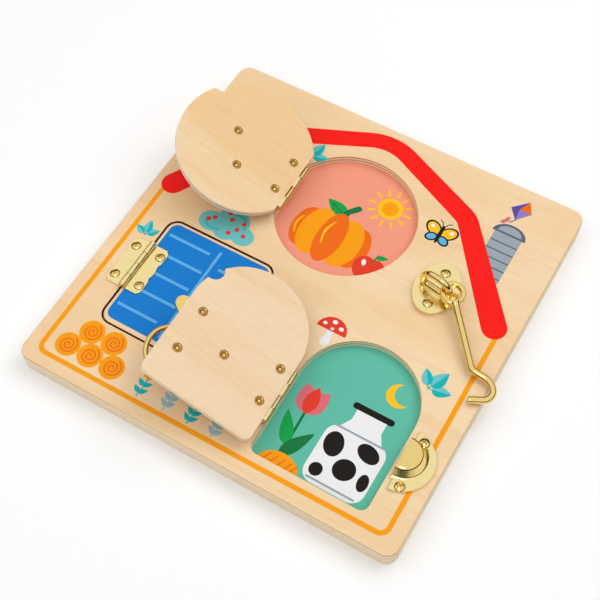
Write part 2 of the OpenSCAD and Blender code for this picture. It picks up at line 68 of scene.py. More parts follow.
def newMaterial(name):
    material = bpy.data.materials.new(name)
    material.use_nodes = True
    tree = material.node_tree
    tree.nodes.clear()
    shader = add(tree, "ShaderNodeBsdfPrincipled")
    add(tree, "ShaderNodeOutputMaterial", inputs={"Surface": shader.outputs[0]})
    return material, tree, shader


def setMaterial(obj, material):
    obj.data.materials.clear()
    obj.data.materials.append(material)


def linked(name, data):   # a new object in the scene
    obj = bpy.data.objects.new(name, data)
    scene.collection.objects.link(obj)
    return obj


def addPiece(name, mesh, body, material=None, node=None):   # node: what it replaces
    mesh.name = name
    obj = linked(name, mesh)
    if material:
        setMaterial(obj, material)
    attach(obj, body)
    if node:
        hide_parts(node)
    return obj


def laidOpen(body):   # matrix from a shut door's place to where the open door lies
    pin = Vector(joints[body + "_hinge"]["pos_m"])
    face = max(nodes[body].data.polygons, key=lambda p: p.area)
    tilt = math.acos(min(1, abs(face.normal.z)))
    turn = Matrix.Rotation(tilt - math.pi, 4, "Y")
    return Matrix.Translation(pin) @ turn @ Matrix.Translation(-pin)


restOf = {body: laidOpen(body) for body in ("round_door", "arch_door")}
for body in ("board", "square_door", "hook"):
    restOf[body] = Matrix.Identity(4)
restOf["latch"] = restOf["arch_door"]


plywood = {
    "face": {"board": "#F0CFA2", "round_door": "#F1CC98", "arch_door": "#F3D4AD",
             "square_door": "#F0CFA2"},
    # the dark brown for the square door's gap is painted shade, not a colour of the wood
    "edgePale": "#FFEED0", "edgeDark": "#CDA470", "glue": "#6E4A28", "gapShade": "#7A4A28",
    "plyThick": 1.5,
    # lines of an edge, by their share of two plies
    "plyLines": ((0.56, "edgePale"), (0.62, "glue"), (0.70, "edgeDark"), (0.92, "edgeDark")),
    # where the stack of plies starts in millimetres, and where on the sheet the grain comes from
    "plyStart": {"board": 0.0, "round_door": 0.4, "arch_door": 0.4, "square_door": 0.4},
    "sheetPlace": {"board": 0.0, "round_door": 7.3, "arch_door": 13.1, "square_door": 21.7},
    # patterns in the grain: colour, length and width in millimetres, detail of the noise, where in
    # the noise it starts and where it is full, strength, waviness
    "cloud": ("#F6DFBB", 110, 30, 1.0, 0.40, 0.66, 0.55, 0.0),
    "band": ("#E2AE6E", 140, 7, 2.0, 0.48, 0.76, 0.24, 0.8),
    "fibre": ("#E2AE6E", 11, 0.3, 2.0, 0.35, 0.75, 0.24, 0.0),
    "fleck": ("#D99F5E", 5, 0.5, 1.0, 0.56, 0.76, 0.26, 0.0),
    "endGrain": ("#FFEED0", 2.5, 0.9, 2.0, 0.3, 0.7, 0.15, 0.0),
}
# the box where cut edges get painted shade: the square door's narrow gap
squareCut = {"centre": (-65.3, -46.9), "size": (90, 95)}   # a little more than the square opening


def basswoodPly(body):
    # Basswood plywood under a thin matt lacquer: pale faces with fine short fibres along X,
    # scattered darker flecks and a few soft growth bands; the cut edge shows its plies as fine
    # light and dark lines. The cut edges round the square door are painted dark brown, as painted
    # shade for that narrow, deep gap.
    material, tree, shader = newMaterial("basswood_plywood_" + body)
    shut = restOf[body].inverted()
    spot = add(tree, "ShaderNodeTexCoord")
    place = add(tree, "ShaderNodeMapping", {"vector_type": "POINT"}, {
        "Vector": spot.outputs["Object"], "Rotation": shut.to_euler(),
        "Location": shut.to_translation()})
    facing = add(tree, "ShaderNodeMapping", {"vector_type": "NORMAL"}, {
        "Vector": spot.outputs["Normal"], "Rotation": shut.to_euler()})
    shift = plywood["sheetPlace"][body]

    def grain(pattern):   # from 0 to the pattern's strength, out of this board's part of the noise
        length, width, detail, low, high, strength, warp = plywood[pattern][1:]
        spread = add(tree, "ShaderNodeMapping", {"vector_type": "POINT"}, {
            "Vector": place.outputs[0], "Location": (shift, shift * 1.7, shift * 0.6),
            "Scale": (1 / (length * mm), 1 / (width * mm), 1 / (width * mm))})
        noise = add(tree, "ShaderNodeTexNoise", inputs={
            "Vector": spread.outputs[0], "Scale": 1.0, "Detail": detail, "Distortion": warp})
        return add(tree, "ShaderNodeMapRange", {"interpolation_type": "SMOOTHSTEP"}, {
            "Value": noise.outputs["Fac"], "From Min": low, "From Max": high,
            "To Min": 0.0, "To Max": strength}).outputs[0]

    marks = {pattern: grain(pattern) for pattern in ("cloud", "band", "fibre", "fleck")}
    face = linear(plywood["face"][body])
    for pattern, factor in marks.items():
        face = add(tree, "ShaderNodeMix", {"data_type": "RGBA"}, {
            "Factor": factor, 6: face, 7: linear(plywood[pattern][0])}).outputs[2]

    # every other ply shows end grain on the cut edge, so the lines repeat every two plies
    twoPlies = 2 * plywood["plyThick"]
    level = add(tree, "ShaderNodeSeparateXYZ", inputs={0: place.outputs[0]})
    ply = add(tree, "ShaderNodeMath", {"operation": "MULTIPLY_ADD"}, {
        0: level.outputs["Z"], 1: 1 / (twoPlies * mm), 2: -plywood["plyStart"][body] / twoPlies})
    ply = add(tree, "ShaderNodeMath", {"operation": "FRACT"}, {0: ply.outputs[0]})
    plyRamp = add(tree, "ShaderNodeValToRGB", inputs={"Fac": ply.outputs[0]})
    ramp = plyRamp.color_ramp
    ramp.elements[0].color = ramp.elements[1].color = linear(plywood["edgePale"])
    for position, colour in plywood["plyLines"]:
        ramp.elements.new(position).color = linear(plywood[colour])
    edge = add(tree, "ShaderNodeMix", {"data_type": "RGBA"}, {
        "Factor": grain("endGrain"), 6: plyRamp.outputs[0], 7: linear(plywood["endGrain"][0])})
    narrowCut = add(tree, "ShaderNodeMapping", {"vector_type": "TEXTURE"}, {
        "Vector": place.outputs[0], "Location": tuple(c * mm for c in squareCut["centre"]) + (0,),
        "Scale": tuple(c / 2 * mm for c in squareCut["size"]) + (1,)})
    reach = add(tree, "ShaderNodeVectorMath", {"operation": "ABSOLUTE"}, {0: narrowCut.outputs[0]})
    reach = add(tree, "ShaderNodeSeparateXYZ", inputs={0: reach.outputs[0]})
    outside = add(tree, "ShaderNodeMath", {"operation": "MAXIMUM"}, {
        0: reach.outputs["X"], 1: reach.outputs["Y"]})
    # painted shade: cut edges inside that box take the dark brown of the gap's shade
    inShadedGap = add(tree, "ShaderNodeMath", {"operation": "LESS_THAN"}, {0: outside.outputs[0], 1: 1.0})
    edge = add(tree, "ShaderNodeMix", {"data_type": "RGBA"}, {
        "Factor": inShadedGap.outputs[0], 6: edge.outputs[2], 7: linear(plywood["gapShade"])})
    side = add(tree, "ShaderNodeSeparateXYZ", inputs={0: facing.outputs[0]})
    upright = add(tree, "ShaderNodeMath", {"operation": "ABSOLUTE"}, {0: side.outputs["Z"]})
    onEdge = add(tree, "ShaderNodeMapRange", inputs={   # the rounded arris fades from face to edge
        "Value": upright.outputs[0], "From Min": 0.6, "From Max": 0.85,
        "To Min": 1.0, "To Max": 0.0})
    colour = add(tree, "ShaderNodeMix", {"data_type": "RGBA"}, {
        "Factor": onEdge.outputs[0], 6: face, 7: edge.outputs[2]})
    bump = add(tree, "ShaderNodeBump", inputs={
        "Height": marks["fibre"], "Strength": 0.15, "Distance": 0.1 * mm})
    tree.links.new(colour.outputs[2], shader.inputs["Base Color"])
    tree.links.new(bump.outputs[0], shader.inputs["Normal"])
    shader.inputs["Roughness"].default_value = 0.52
    shader.inputs["Specular IOR Level"].default_value = 0.3
    return material


def brass(name, colour, roughness, brush):
    # Brass: pale gold, with the faint directional scratches of barrel polishing, 1.5 mm long and
    # 0.25 mm apart, and a haze in patches of 6 mm that breaks up its reflections.
    material, tree, shader = newMaterial(name)
    spot = add(tree, "ShaderNodeTexCoord")
    scratch = add(tree, "ShaderNodeMapping", inputs={
        "Vector": spot.outputs["Object"],
        "Scale": (1 / (1.5 * mm), 1 / (0.25 * mm), 1 / (0.25 * mm))})
    grain = add(tree, "ShaderNodeTexNoise", inputs={
        "Vector": scratch.outputs[0], "Scale": 1.0, "Detail": 2.0})
    haze = add(tree, "ShaderNodeTexNoise", inputs={
        "Vector": spot.outputs["Object"], "Scale": 1 / (6 * mm), "Detail": 2.0})
    dull = add(tree, "ShaderNodeMapRange", inputs={
        "Value": haze.outputs["Fac"], "From Min": 0.3, "From Max": 0.7,
        "To Min": roughness * 0.8, "To Max": roughness * 1.25})
    bump = add(tree, "ShaderNodeBump", inputs={
        "Height": grain.outputs["Fac"], "Strength": brush, "Distance": 0.02 * mm})
    tree.links.new(dull.outputs[0], shader.inputs["Roughness"])
    tree.links.new(bump.outputs[0], shader.inputs["Normal"])
    shader.inputs["Base Color"].default_value = linear(colour)
    shader.inputs["Metallic"].default_value = 1.0
    return material


plyOf = {body: basswoodPly(body) for body in plywood["face"]}
# each brass has its colour, its roughness and the depth of its scratches
satinBrass = brass("brass_plated_steel_satin", "#F6E2A2", 0.18, 0.0012)
polishedBrass = brass("brass_plated_steel_polished", "#EFD284", 0.09, 0.002)
turnedBrass = brass("turned_brass", "#C69E58", 0.16, 0.004)

for name, obj in nodes.items():
    setMaterial(obj, plyOf["board"] if name.endswith("panel") else plyOf.get(name, polishedBrass))
print("materials set")


inkStep = 0.025 * mm   # each ink lies this much higher than the one under it
faceLevel, recessLevel = 15, 9   # heights of the board's face and its recesses, in millimetres
leafSteps = 24   # points along one side of a leaf


def onCircle(x, y, radius, degrees):
    t = math.radians(degrees)
    return (x + radius * math.cos(t), y + radius * math.sin(t))


def ellipse(x, y, rx, ry, turn=0, count=56, start=0, stop=360):
    spin = math.radians(turn)
    outline = []
    for i in range(count + (stop - start < 360)):
        t = math.radians(start + (stop - start) * i / count)
        u, v = rx * math.cos(t), ry * math.sin(t)
        outline.append((x + u * math.cos(spin) - v * math.sin(spin),
                        y + u * math.sin(spin) + v * math.cos(spin)))
    return outline


def leafShape(x, y, length, width, turn, fullness=0.62):   # pointed at its foot, round at its tip
    spin = math.radians(turn)
    sides = []
    for i in range(leafSteps + 1):
        t = i / leafSteps
        v = width / 2 * math.sin(math.pi * t ** fullness) ** 0.8 if 0 < t < 1 else 0
        sides.append((length * t, v))
    points = sides + [(u, -v) for u, v in reversed(sides[1:-1])]
    return [(x + u * math.cos(spin) - v * math.sin(spin),
             y + u * math.sin(spin) + v * math.cos(spin)) for u, v in points]


def roundedRect(x, y, width, height, radius, count=10):
    return [onCircle(x + cx * (width / 2 - radius), y + cy * (height / 2 - radius), radius,
                     turn + 90 * i / count)
            for turn, cx, cy in ((0, 1, 1), (90, -1, 1), (180, -1, -1), (270, 1, -1))
            for i in range(count + 1)]


def rounded(points, radii, count=14):   # an open path with its inner corners turned into arcs
    path = [Vector(points[0])]
    for before, corner, after, radius in zip(points, points[1:], points[2:], radii):
        a, c, b = Vector(before), Vector(corner), Vector(after)
        u, v = (a - c).normalized(), (b - c).normalized()
        half = u.angle(v) / 2
        reach = radius / math.tan(half)
        centre = c + (u + v).normalized() * radius / math.sin(half)
        start = c + u * reach - centre
        sweep = (c + v * reach - centre).angle_signed(start)
        for i in range(count + 1):
            turn = Matrix.Rotation(sweep * i / count, 2)
            path.append(centre + turn @ start)
    return path + [Vector(points[-1])]


def ribbon(path, widths, caps=10):   # an outline along a path, with round ends
    path = [Vector(p) for p in path]
    lengths = [0]
    for a, b in zip(path, path[1:]):
        lengths.append(lengths[-1] + (b - a).length)
    left, right = [], []
    for i, p in enumerate(path):
        along = (path[min(i + 1, len(path) - 1)] - path[max(i - 1, 0)]).normalized()
        across = Vector((-along.y, along.x))
        share = lengths[i] / lengths[-1] * (len(widths) - 1)
        k = min(int(share), len(widths) - 2)
        half = (widths[k] + (widths[k + 1] - widths[k]) * (share - k)) / 2
        left.append(p + across * half)
        right.append(p - across * half)

    def cap(centre, fromPoint):
        return [centre + Matrix.Rotation(-math.pi * i / caps, 2) @ (fromPoint - centre)
                for i in range(1, caps)]

    outline = left + cap(path[-1], left[-1]) + right[::-1] + cap(path[0], right[0])
    return [tuple(p) for p in outline]


def stroke(points, width):
    return ribbon(points, [width, width])


def addPrism(bm, outline, low, high, slotIndex, matrix):   # a flat outline made solid
    area = sum(a[0] * b[1] - b[0] * a[1] for a, b in zip(outline, outline[1:] + outline[:1]))
    if area < 0:
        outline = outline[::-1]
    rings = [[bm.verts.new(matrix @ Vector((x * mm, y * mm, z))) for x, y in outline]
             for z in (low, high)]
    faces = [bm.faces.new(rings[1]), bm.faces.new(rings[0][::-1])]
    count = len(outline)
    for i in range(count):
        j = (i + 1) % count
        faces.append(bm.faces.new((rings[0][i], rings[0][j], rings[1][j], rings[1][i])))
    for face in faces:
        face.material_index = slotIndex


def ink(name, colour):
    # Screen-printed ink on lacquered wood: even, nearly matt, and thin enough to let a little of
    # the grain through.
    material, tree, shader = newMaterial("printed_ink_" + name)
    spot = add(tree, "ShaderNodeTexCoord")
    place = add(tree, "ShaderNodeMapping", inputs={
        "Vector": spot.outputs["Object"], "Scale": (1 / (18 * mm), 1 / (0.7 * mm), 1 / (0.7 * mm))})
    grain = add(tree, "ShaderNodeTexNoise", inputs={
        "Vector": place.outputs[0], "Scale": 1.0, "Detail": 3.0, "Roughness": 0.6})
    fade = add(tree, "ShaderNodeMapRange", inputs={
        "Value": grain.outputs["Fac"], "From Min": 0.3, "From Max": 0.75,
        "To Min": 0.0, "To Max": 0.06})
    mix = add(tree, "ShaderNodeMix", {"data_type": "RGBA"}, {
        "Factor": fade.outputs[0], 6: linear(colour), 7: linear("#6B4A2A")})
    bump = add(tree, "ShaderNodeBump", inputs={
        "Height": grain.outputs["Fac"], "Strength": 0.08, "Distance": 0.1 * mm})
    tree.links.new(mix.outputs[2], shader.inputs["Base Color"])
    tree.links.new(bump.outputs[0], shader.inputs["Normal"])
    shader.inputs["Roughness"].default_value = 0.5
    shader.inputs["Specular IOR Level"].default_value = 0.16
    return material


inks = {name: ink(name, colour) for name, colour in {
    "barn_red": "#FA120A", "orange": "#F89E00", "deep_orange": "#EF6A0A", "tomato": "#E33A22",
    "teal_ground": "#5DBBA4", "salmon_ground": "#F09A80", "blue": "#007ACF", "sky_blue": "#5DB0E4",
    "leaf_teal": "#00B3B8", "pale_teal": "#6CC3C6", "green": "#00A048", "dark_green": "#00743C",
    "black": "#100D0D", "white": "#EDEDEE", "pink": "#DB6B78", "stone_grey": "#9AA5AE",
    "slate": "#5C6470", "purple": "#5B4AA0", "lilac": "#8A7CC8", "yellow": "#FBC219",
    "mist_blue": "#93BCC6"}.items()}


def printed(name, body, level, groups):
    # Each group is its first height in the stack of inks and its layers. A layer lies on top of the
    # layers of its own group that its box touches.
    mesh = bpy.data.meshes.new(name)
    bm = bmesh.new()
    used = []
    for start, layers in groups:
        laid = []
        for inkName, outline in layers:
            xs, ys = [p[0] for p in outline], [p[1] for p in outline]
            box = (min(xs), max(xs), min(ys), max(ys))
            height = 1 + max([h for h, b in laid if box[0] < b[1] and b[0] < box[1]
                              and box[2] < b[3] and b[2] < box[3]], default=start)
            laid.append((height, box))
            if inkName not in used:
                used.append(inkName)
                mesh.materials.append(inks[inkName])
            addPrism(bm, outline, level * mm, level * mm + inkStep * height,
                     used.index(inkName), restOf[body])
    bm.to_mesh(mesh)
    bm.free()
    addPiece(name, mesh, body)


def sprig(x, y, turn, size, tone, paleTone):   # full leaves on short stalks, one half of each paler
    layers = []
    for spread, share in ((-50, 0.86), (4, 1.0), (58, 0.8)):   # each leaf's turn and share of size
        way = math.radians(turn + spread)
        foot = (x + 0.16 * size * math.cos(way), y + 0.16 * size * math.sin(way))
        leaf = leafShape(*foot, size * share, size * share * 0.6, turn + spread, 0.7)
        layers += [(tone, stroke([(x, y), foot], 0.8)), (tone, leaf),
                   (paleTone, leaf[:leafSteps + 1])]
    return layers


def branch(x, y, height, tone, pairs):   # an upright stalk with pairs of leaves
    layers = [(tone, stroke([(x, y), (x + 0.6, y + height * 0.5), (x, y + height)], 0.9))]
    for i in range(pairs):
        level = y + height * (0.2 + 0.75 * i / pairs)
        for side in (-1, 1):
            layers.append((tone, leafShape(x, level, 6.2, 3.4, 90 - side * 55)))
    layers.append((tone, leafShape(x, y + height - 1, 6.0, 3.4, 90)))
    return layers


def blossom(x, y, radius, petals, petalInk, heartInk):
    layers = [(petalInk, leafShape(x, y, radius, radius * 0.62, 360 * i / petals + 12))
              for i in range(petals)]
    return layers + [(heartInk, ellipse(x, y, radius * 0.3, radius * 0.3, count=32))]


# the plain bands: a red gambrel roof line and an orange border
roofBand = {"path": [(-123.4, 22.3), (-79, 98.1), (-6.9, 131.0), (68.2, 97.2), (121.1, 29.2)],
            "radii": [20, 36, 19], "widths": [17.2, 15.4, 13.4, 12.9, 13.8, 15.4, 17.2]}
border = {"path": [(-127.6, 22), (-127.2, -130.9), (126.3, -129.5), (125.1, 22)], "radii": [6, 6],
          "widths": [3.3, 3.3]}
bandGroup = [("barn_red", ribbon(rounded(roofBand["path"], roofBand["radii"]), roofBand["widths"]))]
borderGroup = [("orange", ribbon(rounded(border["path"], border["radii"]), border["widths"]))]

# a grey silo behind the roof line, with a kite over it
siloGroup = [("stone_grey", roundedRect(98.5, 79.5, 20, 39, 0.5)),
             ("slate", ellipse(98.5, 98.5, 12, 9, start=0, stop=180)),
             ("stone_grey", ellipse(98.5, 100, 8.6, 5.8, start=0, stop=180))]
siloGroup += [("slate", roundedRect(98.5, level, 20, 1.0, 0.4)) for level in (91, 84, 77, 70, 63)]
kiteGroup = [("purple", [(90, 121), (97, 112.5), (105, 122), (100, 131)]),
             ("lilac", [(97, 112.5), (105, 122), (96, 121.6)]),
             ("deep_orange", [(96, 121.6), (105, 122), (100, 131)])]
tailGroup = [("purple", stroke([(97.2, 113), (95, 109.5), (91, 109.4), (88.6, 106.6)], 0.7)),
             ("pink", leafShape(91.5, 109.4, 4, 2.8, 65)),
             ("pink", leafShape(91.5, 109.4, 4, 2.8, 245))]

# a yellow butterfly
x, y = 57.5, 77
flyGroup = []
for side in (-1, 1):
    flyGroup += [("black", ellipse(x + side * 5.8, y + 2.6, 6.8, 5.0, side * 38)),
                 ("yellow", ellipse(x + side * 5.6, y + 2.4, 5.6, 3.9, side * 38)),
                 ("black", ellipse(x + side * 4.4, y - 4.6, 4.6, 3.5, side * -30)),
                 ("sky_blue", ellipse(x + side * 4.4, y - 4.6, 3.4, 2.4, side * -30)),
                 ("white", ellipse(x + side * 7.2, y + 3.8, 1.7, 1.2, side * 38)),
                 ("black", stroke([(x, y + 5), (x + side * 2.2, y + 9.5),
                                   (x + side * 4.4, y + 10.6)], 0.6))]
flyGroup += [("black", ribbon([(x, y - 7.5), (x, y - 1), (x, y + 6)], [1.6, 2.8, 2.2]))]

# a teal bush with berries, under the round door
bushGroup = [("pale_teal", ellipse(x, y, r, r * 0.86)) for x, y, r in
             ((-83, 9, 9.5), (-70, 15, 12.5), (-58, 8, 8.5), (-71, 6.8, 8.8))]
bushGroup += [("leaf_teal", stroke(rounded([(-88, 9), (-84, 3.6), (-75, 5)], [6]), 0.9)),
              ("leaf_teal", stroke(rounded([(-69, 22), (-61, 20.5), (-60, 13)], [6]), 0.9))]
bushGroup += [("tomato", ellipse(x, y, 1.7, 1.7, count=24)) for x, y in
              ((-86, 9.5), (-82.5, 12.5), (-75, 20.5), (-71, 16.5),
               (-68, 6), (-64, 11), (-57.5, 8.5), (-62, 17))]

# a spotted toadstool
toadstool = [("white", ribbon([(30.5, -34), (30.5, -28), (30.5, -23)], [6.4, 4.4, 5])),
             ("tomato", ellipse(30.5, -25.5, 10.6, 10.5, start=0, stop=180))]
toadstool += [("white", ellipse(x, y, r, r * 0.86, count=24)) for x, y, r in
              ((30, -18.4, 1.8), (24.4, -21.8, 1.5), (36, -21.2, 1.7), (30.6, -23.6, 1.2))]

# a stack of round straw bales
bale = {"radius": 8.6, "core": 0.8, "rim": 3.0, "turns": 2.2, "steps": 70,
        "at": ((-112, -118.5), (-94.8, -118.5), (-77.6, -118.5), (-103.4, -103.6), (-86.2, -103.6))}
baleGroup = []
for x, y in bale["at"]:
    coil = [onCircle(x, y, bale["core"] + (bale["radius"] - bale["rim"]) * i / bale["steps"],
                     360 * bale["turns"] * i / bale["steps"]) for i in range(bale["steps"] + 1)]
    baleGroup += [("orange", ellipse(x, y, bale["radius"], bale["radius"])),
                  ("deep_orange", stroke(coil, 1.0))]

# flowers along the bottom
flowerGroup = branch(-53, -127, 14, "leaf_teal", 2)
flowerGroup += blossom(-53, -108.5, 6.2, 8, "orange", "white")
flowerGroup += branch(-33, -127, 18, "mist_blue", 3)
flowerGroup += branch(-15, -127, 12, "leaf_teal", 2)
flowerGroup += blossom(-15, -110.5, 5.6, 7, "deep_orange", "yellow")
flowerGroup += branch(3, -127, 12, "mist_blue", 2)

printed("board_print", "board", faceLevel, [
    (0, borderGroup), (0, siloGroup), (0, kiteGroup), (4, tailGroup), (4, bandGroup), (0, flyGroup),
    (0, bushGroup), (0, toadstool), (0, baleGroup), (0, flowerGroup),
    (0, sprig(-116.8, -23.5, 95, 10.5, "leaf_teal", "pale_teal")),
    (0, sprig(104, -31, 62, 15, "leaf_teal", "pale_teal")),
    (0, sprig(-52, 90, 70, 13, "leaf_teal", "pale_teal"))])

# the round recess: a pumpkin and an apple under a sun
pumpkin = {"at": (-8, 41), "ribs": [   # each rib's offset, half width, half height and ink
    (-19, 10, 17, "deep_orange"), (19, 10, 17, "deep_orange"), (-11, 12, 20, "orange"),
    (11, 12, 20, "orange"), (0, 9.5, 21.5, "deep_orange")]}
sun = {"at": (17, 82), "disc": 9, "heart": 5.8, "inner": 11.5, "outer": 15.5, "rays": 12,
       "rayWidth": 1.8}
roundGround = ellipse(-5.6, 59.2, 49.6, 49.6, count=160)
roundGroup = [("salmon_ground", [p for p in roundGround if p[0] > -49.2])]   # flat at the hinge
for i in range(sun["rays"]):
    turn = 360 * i / sun["rays"]
    roundGroup += [("yellow", stroke([onCircle(*sun["at"], sun["inner"], turn),
                                      onCircle(*sun["at"], sun["outer"], turn)], sun["rayWidth"]))]
roundGroup += [(tone, ellipse(*sun["at"], sun[part], sun[part]))
               for tone, part in (("yellow", "disc"), ("orange", "heart"))]
roundGroup += [("green", leafShape(-8, 62, 18, 10, 158)),
               ("dark_green", stroke([(-10, 62.4), (-21, 67)], 0.8)),
               ("dark_green", ribbon([(-8, 58), (-7, 65), (-2, 71)], [6.4, 4.2, 4.8]))]
x, y = pumpkin["at"]
roundGroup += [(tone, ellipse(x + dx, y, rx, ry)) for dx, rx, ry, tone in pumpkin["ribs"]]
roundGroup += [("yellow", ribbon(rounded(path, [bend]), widths)) for path, bend, widths in (
    ([(-32.5, 48), (-35, 40), (-32, 33)], 12, [0.8, 1.6, 0.8]),
    ([(-10.5, 54), (-14, 44), (-11.5, 34)], 16, [0.8, 1.8, 0.8]))]
roundGroup += [("tomato", ellipse(24, 31, 8, 9.4, 12)), ("tomato", ellipse(30, 31, 8, 9.4, -12)),
               ("dark_green", stroke([(27, 37), (28.4, 44)], 1.2)),
               ("green", leafShape(28, 42, 8, 4, 20)),
               ("white", ellipse(22, 34.5, 1.6, 2.6, 20, count=20))]
printed("round_recess_print", "board", recessLevel, [(0, roundGroup)])

# the arch recess: a patched milk churn, a tulip and a hay heap under a moon
archOutline = (ellipse(68.3, -59.6, 40.9, 40.9, count=80, start=0, stop=180)
               + ellipse(32.9, -117.4, 5.4, 5.4, count=10, start=180, stop=270)
               + ellipse(103.7, -117.4, 5.4, 5.4, count=10, start=270, stop=360))
churnGroup = [("teal_ground", archOutline),
              ("yellow", ellipse(90, -42, 8.5, 8.5)),
              ("teal_ground", ellipse(93.6, -39.6, 7.4, 7.4)),
              ("white", roundedRect(82, -99, 42, 43, 9)),
              ("white", [(66, -80.5), (71.5, -71), (92.5, -71), (98, -80.5)]),
              ("white", roundedRect(82, -67, 21, 12, 3)),
              ("black", roundedRect(82, -61, 29, 4.4, 2.1)),
              ("stone_grey", roundedRect(82, -78.8, 36, 1.4, 0.6)),
              ("stone_grey", roundedRect(82, -117.5, 34, 1.4, 0.6))]
churnGroup += [("black", ellipse(x, y, rx, ry, turn)) for x, y, rx, ry, turn in
               ((70, -91, 6.5, 8.6, 15), (92, -86.5, 8, 5.6, -20), (84, -103, 7.5, 7.2, 40),
                (98, -105, 3.6, 6, 5), (68.5, -111, 4.4, 4.6, 0))]
tulipGroup = [("dark_green", stroke([(43, -118), (44.4, -100), (43.6, -78)], 1.8)),
              ("green", leafShape(44, -106, 24, 9, 116)),
              ("dark_green", leafShape(44, -113, 25, 9, 60)),
              ("pink", leafShape(43.6, -82, 21, 13, 112, 0.8)),
              ("pink", leafShape(43.6, -82, 21, 13, 68, 0.8)),
              ("tomato", leafShape(43.6, -82, 20, 9.5, 90, 0.8))]
hayGroup = [("orange", ellipse(47, -122.4, 14, 10.5, start=0, stop=180))]
hayGroup += [("deep_orange", stroke([(x, -120.5), (x + 2.4, -115.5)], 0.9))
             for x in (37, 42, 47, 52, 56)]
printed("arch_recess_print", "board", recessLevel,
        [(0, churnGroup), (2, tulipGroup), (8, hayGroup)])

# the square door: a blue plank door with light joints
plankDoor = {"panel": (-65.3, -46.9, 78.2, 83.6, 5.8), "upright": (-63.4, -47.8, 2, 76),
             # light joints, each from x to x at y
             "joints": ((-102, -69.5, -15), (-94, -66.5, -30.3), (-94, -66.5, -45.8),
                        (-94, -66.5, -61.3), (-102, -71, -76.8), (-58, -32, -22.5), (-58, -32, -38),
                        (-58, -32, -53.5), (-58, -32, -69)),
             "jointWidth": 2.1, "ends": 0.5}
doorGroup = [("blue", roundedRect(*plankDoor["panel"])),
             ("sky_blue", roundedRect(*plankDoor["upright"], plankDoor["ends"]))]
doorGroup += [("sky_blue", roundedRect((low + high) / 2, y, high - low, plankDoor["jointWidth"],
                                       plankDoor["ends"])) for low, high, y in plankDoor["joints"]]
printed("square_door_print", "square_door", faceLevel, [(0, doorGroup)])
print("prints made")


def lathe(bm, profile, steps, start=0, sweep=360):   # points of (radius, height), turned about Z
    closed = sweep >= 360
    rings = []
    for i in range(steps + (not closed)):
        t = math.radians(start + sweep * i / steps)
        rings.append([bm.verts.new((r * math.cos(t), r * math.sin(t), z)) for r, z in profile])
    for i in range(steps):
        a, b = rings[i], rings[(i + 1) % len(rings)]
        for j in range(len(profile)):
            k = (j + 1) % len(profile)
            bm.faces.new((a[j], b[j], b[k], a[k]))
    if not closed:
        bm.faces.new(rings[0])
        bm.faces.new(rings[-1][::-1])
    return rings


def cleaned(bm, joinWithin=1e-4):   # doubles merged, no slivers, faces outwards
    bmesh.ops.remove_doubles(bm, verts=bm.verts, dist=joinWithin)
    bmesh.ops.dissolve_degenerate(bm, edges=bm.edges, dist=joinWithin / 10)
    bmesh.ops.recalc_face_normals(bm, faces=bm.faces)


def toMesh(bm, name, scale=1.0):
    bm.transform(Matrix.Scale(scale, 4))
    mesh = bpy.data.meshes.new(name)
    bm.to_mesh(mesh)
    bm.free()
    return mesh


def smoothShaded(mesh, angle):   # smooth faces, with edges sharp from this angle up
    bm = bmesh.new()
    bm.from_mesh(mesh)
    for face in bm.faces:
        face.smooth = True
    for edge in bm.edges:
        edge.smooth = len(edge.link_faces) == 2 and edge.calc_face_angle(0) < math.radians(angle)
    bm.to_mesh(mesh)
    bm.free()
    return mesh


def asPlainMesh(holder):   # what an object shows with its modifiers, as a mesh; the object goes
    depsgraph = bpy.context.evaluated_depsgraph_get()
    result = bpy.data.meshes.new_from_object(holder.evaluated_get(depsgraph), depsgraph=depsgraph)
    holder.modifiers.clear()
    bpy.data.objects.remove(holder)
    return result


def applied(mesh, kind, **settings):   # a mesh after one modifier
    holder = linked("holder", mesh)
    modifier = holder.modifiers.new(kind, kind)
    for key, value in settings.items():
        setattr(modifier, key, value)
    return asPlainMesh(holder)


def combined(mesh, tool, operation, useSelf=False):   # a mesh cut by another, or joined to it
    holder = linked("tool", tool)
    result = applied(mesh, "BOOLEAN", operation=operation, object=holder, solver="EXACT",
                     use_self=useSelf)
    bpy.data.objects.remove(holder)
    return result


def newTree(name, sockets):   # a geometry tree with named inputs and one geometry output
    tree = bpy.data.node_groups.new(name, "GeometryNodeTree")
    for label, kind in sockets:
        tree.interface.new_socket(label, in_out="INPUT", socket_type="NodeSocket" + kind)
    tree.interface.new_socket("Geometry", in_out="OUTPUT", socket_type="NodeSocketGeometry")
    return tree, add(tree, "NodeGroupInput").outputs


def endTree(tree, geometry, finish):   # every tree ends in plain geometry with its material
    real = add(tree, "GeometryNodeRealizeInstances", inputs={0: geometry})
    painted = add(tree, "GeometryNodeSetMaterial", inputs={
        "Geometry": real.outputs[0], "Material": finish})
    add(tree, "NodeGroupOutput", inputs={0: painted.outputs[0]})
    return tree


def grown(source, tree, settings):   # what a geometry tree makes of a mesh, as a plain mesh
    holder = linked("holder", source)
    modifier = holder.modifiers.new(tree.name, "NODES")
    modifier.node_group = tree
    for item in tree.interface.items_tree:
        if item.in_out == "INPUT" and item.name in settings:
            modifier[item.identifier] = settings[item.name]
    return asPlainMesh(holder)


